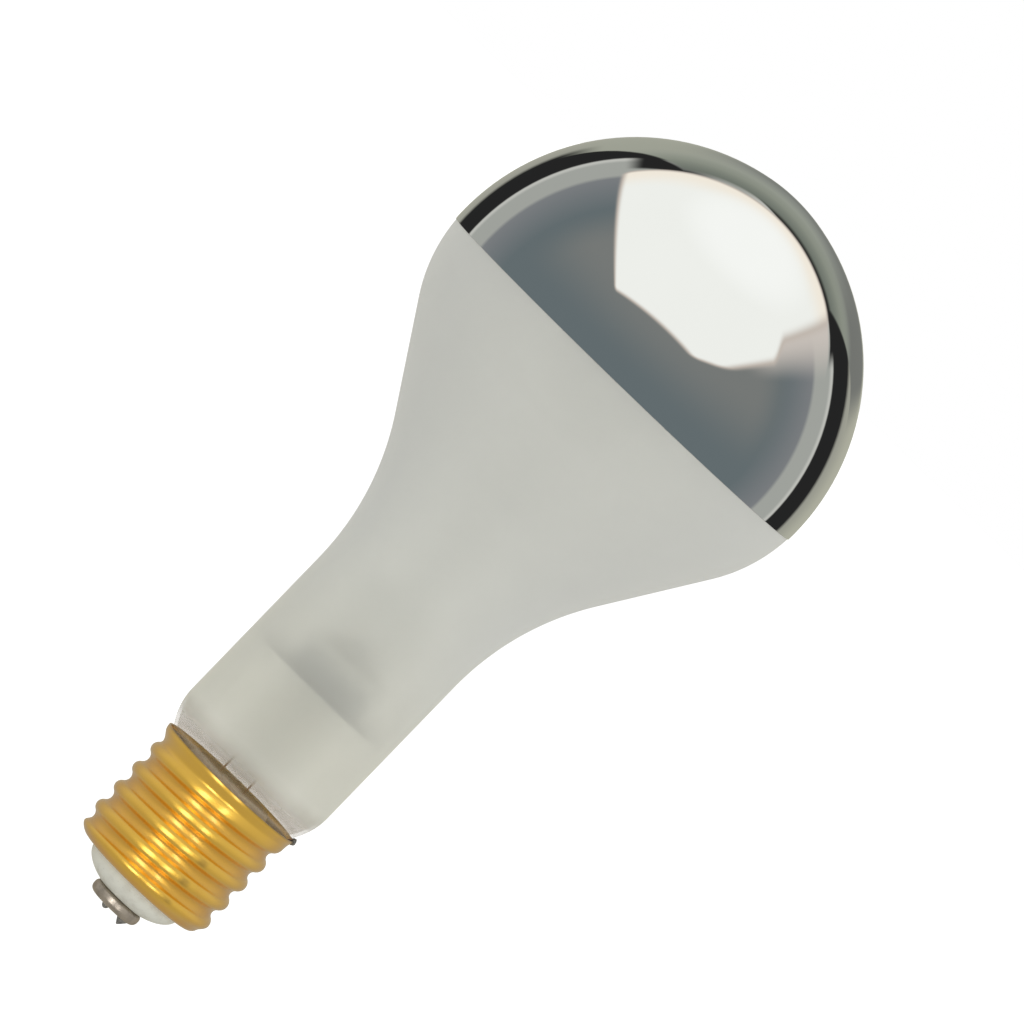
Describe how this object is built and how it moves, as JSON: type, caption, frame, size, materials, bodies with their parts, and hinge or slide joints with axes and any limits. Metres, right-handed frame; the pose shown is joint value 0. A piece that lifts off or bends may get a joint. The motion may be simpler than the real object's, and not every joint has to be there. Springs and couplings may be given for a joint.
{
  "type": "silvered bowl incandescent lamp",
  "caption": "Large incandescent lamp with a mirrored bowl, a frosted tapering neck over its glass stem and filament mount, and a threaded brass screw cap.",
  "frame": {"origin": "on the lamp's axis, level with the lowest tip of the solder under the centre contact", "axes": "+Z along the axis from the cap to the crown, +X towards the solder on the rim, +Y away from the picture's viewer"},
  "size_m": [0.1106, 0.1106, 0.238],
  "materials": {
    "frosted_glass": "etched inside, clear near the seal",
    "mirror_coating": "polished silver",
    "clear_glass": "clear",
    "deflector_metal": "dull sheet",
    "tungsten": "coiled wire",
    "nickel_wire": "drawn wire",
    "copper_wire": "drawn wire, dulled",
    "cement": "rough, brown",
    "brass_shell": "bright rolled sheet",
    "white_insulator": "satin white",
    "plated_contact": "plated, dulled",
    "solder": "ragged, dull grey"
  },
  "bodies": {
    "root": {"glass_bulb": "frosted_glass", "mirror_bowl": "mirror_coating", "stem": "clear_glass", "exhaust_tube": "clear_glass", "button_rod": "clear_glass", "heat_deflector": "deflector_metal", "filament": "tungsten", "left_lead_wire": "nickel_wire", "right_lead_wire": "nickel_wire", "left_tie_wire": "nickel_wire", "right_tie_wire": "nickel_wire", "centre_lead": "copper_wire", "side_lead": "copper_wire", "basing_cement": "cement", "screw_shell": "brass_shell", "insulator": "white_insulator", "centre_contact": "plated_contact", "solder_bead": "solder", "solder_spike": "solder", "side_solder": "solder", "support_wire_1": "nickel_wire", "support_wire_2": "nickel_wire", "support_wire_3": "nickel_wire", "support_wire_4": "nickel_wire", "support_wire_5": "nickel_wire"}
  },
  "joints": []
}
